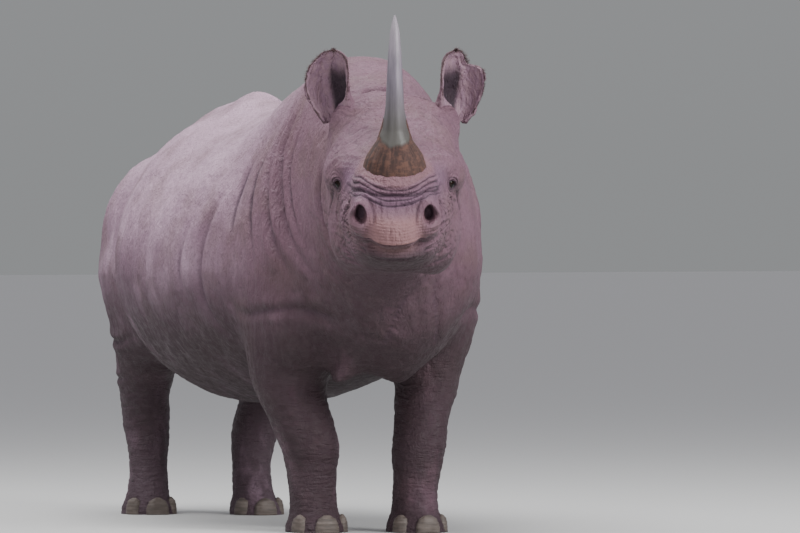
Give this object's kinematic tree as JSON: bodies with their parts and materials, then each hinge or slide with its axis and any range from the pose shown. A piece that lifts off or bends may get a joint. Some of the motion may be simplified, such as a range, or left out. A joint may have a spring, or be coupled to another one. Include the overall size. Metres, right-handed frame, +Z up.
{
  "type": "black rhinoceros model",
  "caption": "Life-size still model of an adult black rhinoceros, standing on all four feet with its head turned to its right.",
  "frame": {"origin": "on the floor, under the middle of the whole animal's box", "axes": "+X forward along the trunk, +Y to the animal's left, +Z up"},
  "size_m": [3.0761, 0.9894, 1.6196],
  "materials": {
    "skin": "dusty wrinkled hide, pinkish grey brown",
    "horn": "polished grey horn over a rough brown fibrous base",
    "nail": "worn dull toenail",
    "eye": "wet dark brown",
    "hair": "coarse black bristle"
  },
  "bodies": {
    "root": {"head": "skin", "lower_jaw": "skin", "neck": "skin", "trunk": "skin", "tail": "skin", "tail_tuft": "hair", "ear_left": "skin", "ear_right": "skin", "eye_left": "eye", "eye_right": "eye", "horn_front": "horn", "horn_rear": "horn", "upper_leg_front_left": "skin", "upper_leg_front_right": "skin", "upper_leg_hind_left": "skin", "upper_leg_hind_right": "skin", "lower_leg_front_left": "skin", "lower_leg_front_right": "skin", "lower_leg_hind_left": "skin", "lower_leg_hind_right": "skin", "foot_front_left": "skin", "foot_front_right": "skin", "foot_hind_left": "skin", "foot_hind_right": "skin", "nail_front_left_outer": "nail", "nail_front_left_middle": "nail", "nail_front_left_inner": "nail", "nail_front_right_outer": "nail", "nail_front_right_middle": "nail", "nail_front_right_inner": "nail", "nail_hind_left_outer": "nail", "nail_hind_left_middle": "nail", "nail_hind_left_inner": "nail", "nail_hind_right_outer": "nail", "nail_hind_right_middle": "nail", "nail_hind_right_inner": "nail"}
  },
  "joints": []
}
